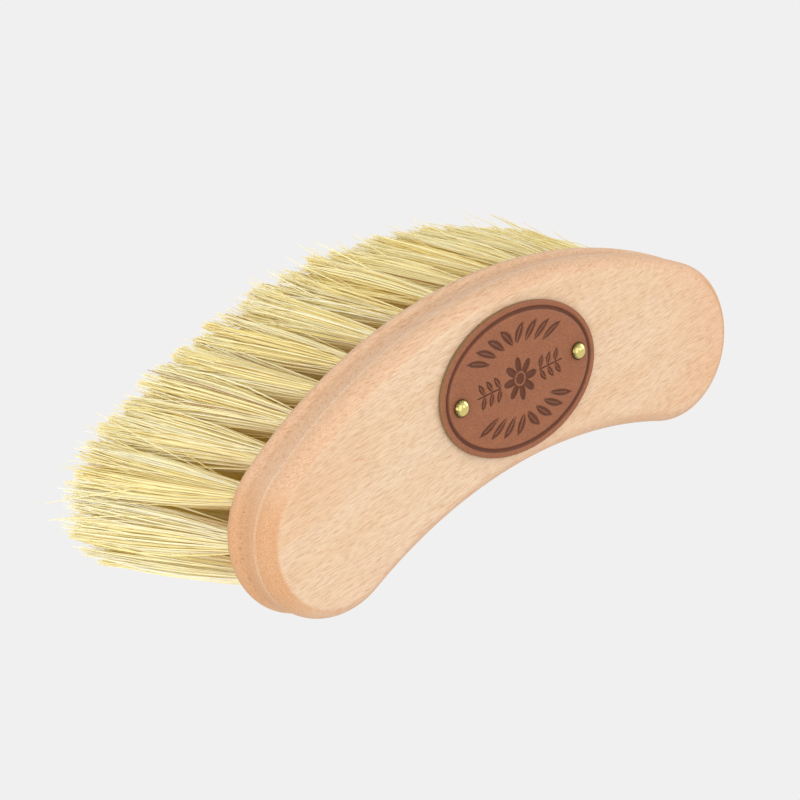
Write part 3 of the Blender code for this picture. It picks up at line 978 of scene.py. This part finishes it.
def make_beech_group(flecks):
    """Beech: fine light and dark streaks and short ray flecks along a grain turned from X.

    All of it is one solid pattern in the block's own coordinates. Its ground drifts from pale
    to warm in broad bands, warmest at the far end. The moulded edge is darker, with speckled
    end grain on the round ends, a painted highlight along the lip, fine pores and a little dust
    in its hollow.
    """
    group, given, result = new_group(
        "beech_figure",
        [("Vector", "v"), ("Facing", "v"), ("Hollow Level", "f"), ("Lip Level", "f")],
        [("Color", "c"), ("Roughness", "f"), ("Height", "f")],
    )
    place = given.outputs["Vector"]
    spot = put(group, "ShaderNodeSeparateXYZ", Vector=place).outputs
    wood = lay_grain(group, place)
    upright, end = side_masks(group, given.outputs["Facing"])
    hollow, lip, seam = edge_masks(group, spot["Z"], given.outputs["Hollow Level"],
                                   given.outputs["Lip Level"], end)

    # Ground colour
    band = grained(group, wood, BAND_CELLS, 2.0, 0.5, BAND_SHIFT)
    blush = grained(group, wood, BLUSH_CELLS, 1.0, 0.5, BLUSH_SHIFT)
    bright = ease(group, away(group, spot["X"], PALE_MIDDLE), 0.015, 0.050, 0.45, 0.0)
    base = blend(group, ease(group, band, 0.36, 0.68), BEECH_PALE, BEECH_WARM)
    base = coats(
        group, base,
        (ease(group, spot["X"], 0.060, 0.105, 0.0, 0.8), BEECH_FAR_END),
        (bright, BEECH_BRIGHT),
        (ease(group, blush, 0.45, 0.75, 0.0, 0.55), BEECH_BLUSH),
        (times(group, upright, SIDE_SHARE), BEECH_SIDE),
        (times(group, end, END_SHARE), BEECH_END_GRAIN),
        # A painted highlight along the lip
        (times(group, lip, LIP_HIGHLIGHT_SHARE), BEECH_LIP_HIGHLIGHT),
    )

    # Streaks along the grain, and the speckle of end grain
    streak = grained(group, wood, STREAK_CELLS, 2.0, 0.6)
    hair = grained(group, wood, HAIR_CELLS, 2.0, 0.6)
    lengthways = reckon(group, "SUBTRACT", 1.0, times(group, end, END_SHARE))
    tone = times(group, ease(group, streak, 0.25, 0.75, -STREAK_TONE, STREAK_TONE), lengthways)
    hair_tone = ease(group, hair, 0.25, 0.75, -HAIR_TONE, HAIR_TONE)
    tone = reckon(group, "MULTIPLY_ADD", hair_tone, lengthways, tone)
    speckle = grained(group, place, SPECKLE_CELLS, 3.0, 0.7)
    speckle = ease(group, speckle, 0.36, 0.64, *SPECKLE_TONE)
    speckled = reckon(group, "MAXIMUM", end, times(group, upright, 0.32))
    tone = reckon(group, "MULTIPLY_ADD", speckle, speckled, reckon(group, "ADD", tone, 1.0))
    base = tint(group, base, reckon(group, "POWER", tone, 0.7), tone,
                reckon(group, "POWER", tone, 1.4))

    # Flecks on the face, then dust and pores on the moulded edge
    fleck = put(group, "ShaderNodeGroup", {"node_tree": flecks},
                Vector=stretch(group, wood, FLECK_CELLS), Scarcity=FLECK_SCARCITY,
                Size=FLECK_SIZE)
    dash = grained(group, wood, DASH_CELLS, 1.0, 0.5, DASH_SHIFT)
    dash = ease(group, dash, 0.57, 0.66, 0.0, 0.62)
    marks = reckon(group, "MAXIMUM", fleck.outputs["Mask"], dash)
    marks = times(group, marks, lengthways)
    dust = ease(group, grained(group, place, DUST_CELLS, 3.0, 0.7), 0.35, 0.65, 0.08, 0.42)
    dusty = times(group, times(group, hollow, dust), ease(group, end, 0.3, 1.0, 1.0, 0.12))
    pore = ease(group, cloud(group, place, PORE_CELLS, 1.0, 0.5), 0.54, 0.66, 0.0, 0.6)
    pore = times(group, pore, times(group, seam, end))
    base = coats(group, base, (times(group, marks, MARKS_SHARE), BEECH_MARKS), (dusty, BEECH_DUST),
                 (pore, BEECH_PORES))

    # Gloss and relief
    rough = reckon(group, "MULTIPLY_ADD", end, 0.12, ease(group, hair, 0.2, 0.8, 0.50, 0.64))
    height = reckon(group, "MULTIPLY_ADD", hair, 0.25, times(group, marks, -1.0))
    join(group, result, Color=base, Roughness=rough, Height=height)
    return group


def make_beech():
    """Sanded, unvarnished beech."""
    made, tree, shader, place = new_material("beech")
    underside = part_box("block")[0].z
    figure = put(tree, "ShaderNodeGroup", {"node_tree": beech_figure},
                 Vector=place.outputs["Object"], Facing=place.outputs["Normal"],
                 Hollow_Level=underside + DUST_HEIGHT, Lip_Level=underside + LIP_HEIGHT).outputs
    join(tree, shader, Base_Color=figure["Color"], Roughness=figure["Roughness"],
         Normal=bump(tree, figure["Height"], BEECH_RELIEF), Specular_IOR_Level=0.35)
    return shade(made, (0.82, 0.59, 0.39, 1))


def make_straw():
    """Plant fibre: each fibre has its own tone, darker deep in a tuft as painted shade, with a
    fine mottle along it.

    Fibres deep in a tuft also get a painted golden shade, most at the root, and those buried
    behind it get a painted shade to past half their length. A faint glow stands in for the light
    that passes through them.
    """
    made, tree, shader, place = new_material("plant_fibre")
    along = mark(tree, "along")
    ramp = put(tree, "ShaderNodeValToRGB", Fac=mark(tree, "tone"))
    stops = ramp.color_ramp.elements
    stops.remove(stops[1])
    for stop, colour in STRAW_RAMP[1:]:
        stops.new(stop).color = (*colour, 1)
    stops[0].color = (*STRAW_RAMP[0][1], 1)
    # Painted shade: golden on fibres deep in a tuft, most at the root, and dark on buried fibres
    golden = times(tree, mark(tree, "deep"), ease(tree, along, 0.0, 1.0, 0.45, 0.15))
    shady = times(tree, mark(tree, "buried"), ease(tree, along, 0.0, 0.58, 1.0, 0.0))
    mottle = grained(tree, place.outputs["Object"], MOTTLE_CELLS, 3.0, 0.6)
    worn = ease(tree, mottle, 0.25, 0.75, 0.90, 1.03)
    colour = tint(tree, ramp.outputs["Color"], worn, worn, worn)
    colour = coats(tree, colour, (golden, STRAW_DEEP_SHADE), (shady, STRAW_SHADE))
    join(tree, shader, Base_Color=colour, Roughness=ease(tree, mottle, 0.2, 0.8, 0.55, 0.75),
         Normal=bump(tree, mottle, STRAW_RELIEF), Specular_IOR_Level=0.1,
         Emission_Color=STRAW_GLOW, Emission_Strength=STRAW_GLOW_STRENGTH,
         Sheen_Weight=0.5, Sheen_Roughness=0.6, Sheen_Tint=STRAW_SHEEN)
    return shade(made, (0.93, 0.82, 0.48, 1))


def make_hide_group():
    """Fine leather grain: small rounded cells, wandering creases and a soft cloudiness."""
    group, given, result = new_group(
        "hide_grain", [("Vector", "v")], [("Tone", "f"), ("Roughness", "f"), ("Height", "f")]
    )
    place = given.outputs["Vector"]
    cells = put(group, "ShaderNodeTexVoronoi", {"feature": "SMOOTH_F1"}, Vector=place,
                Scale=HIDE_CELLS, Smoothness=0.4)
    pores = cloud(group, place, HIDE_PORES, 2.0, 0.6)
    haze = cloud(group, place, HIDE_HAZE, 3.0, 0.6)
    grain = reckon(group, "MULTIPLY_ADD", cells.outputs["Distance"], -0.7, pores)
    tone = times(group, ease(group, grain, -0.1, 0.5, 0.82, 1.12),
                 ease(group, haze, 0.25, 0.75, 0.95, 1.04))
    rough = ease(group, grain, -0.2, 0.6, 0.52, 0.68)
    join(group, result, Tone=tone, Roughness=rough, Height=grain)
    return group


def make_leather():
    """Brown vegetable-tanned leather, darker where pressed, partly its tooling and partly painted
    shade, and paler at its cut edge.
    """
    made, tree, shader, place = new_material("tooled_leather")
    grain = put(tree, "ShaderNodeGroup", {"node_tree": hide_grain},
                Vector=place.outputs["Object"]).outputs
    pressed, tone = mark(tree, "pressed"), grain["Tone"]
    # Darker where pressed: partly the tooling, partly painted shade
    colour = blend(tree, times(tree, pressed, 0.85), HIDE_PLAIN, HIDE_PRESSED_SHADE)
    colour = blend(tree, mark(tree, "cut"), colour, HIDE_CUT)
    join(tree, shader, Base_Color=tint(tree, colour, tone, tone, tone),
         Roughness=reckon(tree, "MULTIPLY_ADD", pressed, -0.1, grain["Roughness"]),
         Normal=bump(tree, grain["Height"], HIDE_RELIEF), Specular_IOR_Level=0.25)
    return shade(made, (0.35, 0.15, 0.085, 1))


def make_brass():
    """Polished brass with faint scratches and a painted dark reflection round the brim, a little
    patchy.
    """
    made, tree, shader, place = new_material("polished_brass")
    scuff = grained(tree, place.outputs["Object"], SCUFF_CELLS, 3.0, 0.6)
    spots = cloud(tree, place.outputs["Object"], DARK_REFLECTION_CELLS, 2.0, 0.5)
    # A painted dark reflection round the brim, patchy
    dark_rim = times(tree, ease(tree, mark(tree, "crown"), 0.04, 0.34, 1.0, 0.0),
                    ease(tree, spots, 0.3, 0.7, 0.8, 1.0))
    join(tree, shader, Base_Color=blend(tree, dark_rim, BRASS_BRIGHT, BRASS_DARK_REFLECTION),
         Roughness=ease(tree, scuff, 0.3, 0.8, 0.11, 0.17),
         Normal=bump(tree, scuff, BRASS_RELIEF), Metallic=1.0)
    return shade(made, (0.86, 0.70, 0.30, 1))


def make_paper():
    """The pale floor: a light table, even to the eye, that lights the brush from below."""
    made, tree, _, _ = new_material("pale_paper")
    lit = put(tree, "ShaderNodeEmission", Color=BACKDROP, Strength=1.0)
    join(tree, tree.nodes["Material Output"], Surface=lit.outputs[0])
    return shade(made, BACKDROP)


# Studio

def place_camera():
    """The camera of the photograph, from its place, its line of sight and its upward way."""
    look, up = np.array(CAMERA_LOOK), np.array(CAMERA_UP)
    look = look / np.linalg.norm(look)
    right = np.cross(look, up)
    right = right / np.linalg.norm(right)
    up = np.cross(right, look)
    data = bpy.data.cameras.new("studio_camera")
    data.sensor_fit = "HORIZONTAL"
    data.sensor_width = SENSOR_WIDTH
    data.lens = CAMERA_LENS
    data.clip_start, data.clip_end = CAMERA_RANGE
    camera = bpy.data.objects.new("studio_camera", data)
    bpy.context.scene.collection.objects.link(camera)
    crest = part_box("block")[1]
    stand = np.array([0.0, crest.y, crest.z]) + CAMERA_OFFSET
    matrix = np.eye(4)
    matrix[:3] = np.stack([right, up, -look, stand], -1)
    camera.matrix_world = Matrix(matrix.tolist())
    bpy.context.scene.camera = camera


def place_light(name, way, size, power):
    """A square soft light that faces the brush's middle from one direction."""
    way = np.array(way) / np.linalg.norm(way)
    data = bpy.data.lights.new(name, "AREA")
    data.shape = "SQUARE"
    data.size = size
    data.energy = power
    light = bpy.data.objects.new(name, data)
    bpy.context.scene.collection.objects.link(light)
    light.location = way * LIGHT_DISTANCE + np.array(BRUSH_MIDDLE)
    side = np.cross([0.0, 0.0, 1.0], way)
    side = side / np.linalg.norm(side)
    matrix = np.stack([side, np.cross(way, side), way], -1)
    light.rotation_euler = Matrix(matrix.tolist()).to_euler()


def light_studio():
    """A pale tent: even light from all round and four soft lights at the fitted strengths."""
    world = bpy.data.worlds.new("soft_tent")
    world.use_nodes = True
    join(world.node_tree, world.node_tree.nodes["Background"], Color=(1.0, 1.0, 1.0, 1.0),
         Strength=TENT_STRENGTH)
    bpy.context.scene.world = world
    for name, (way, size, power) in LIGHTS.items():
        place_light(name, way, size, power)


def lay_floor():
    """A wide flat floor under the bristle tips."""
    corners = np.array([[-1, -1, 0], [1, -1, 0], [1, 1, 0], [-1, 1, 0]]) * FLOOR_HALF
    floor = lay_mesh("pale_floor", corners, [np.arange(4)[None]], None, make_paper())


# Making

wood_flecks = make_fleck_group()
beech_figure = make_beech_group(wood_flecks)
hide_grain = make_hide_group()
beech = make_beech()
straw = make_straw()
brass = make_brass()
leather = make_leather()

place_camera()
light_studio()
lay_floor()

tuft_names = sorted(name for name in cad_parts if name.startswith("tuft_"))
tufts = read_tufts(tuft_names)
outline = block_stations(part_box("block")[1].y)
make_block(outline, tufts)
fans = ring_fans(tuft_names, tufts)
for number, (name, (mouth, slope), fan) in enumerate(zip(tuft_names, tufts, fans)):
    make_tuft(name, mouth, slope, outward_way(mouth, outline), fan, FIRST_SEED + number)
nails = [make_nail(node)[1] for node in ("nail_left", "nail_right")]
make_badge(nails)

bpy.context.scene.view_settings.view_transform = "Standard"
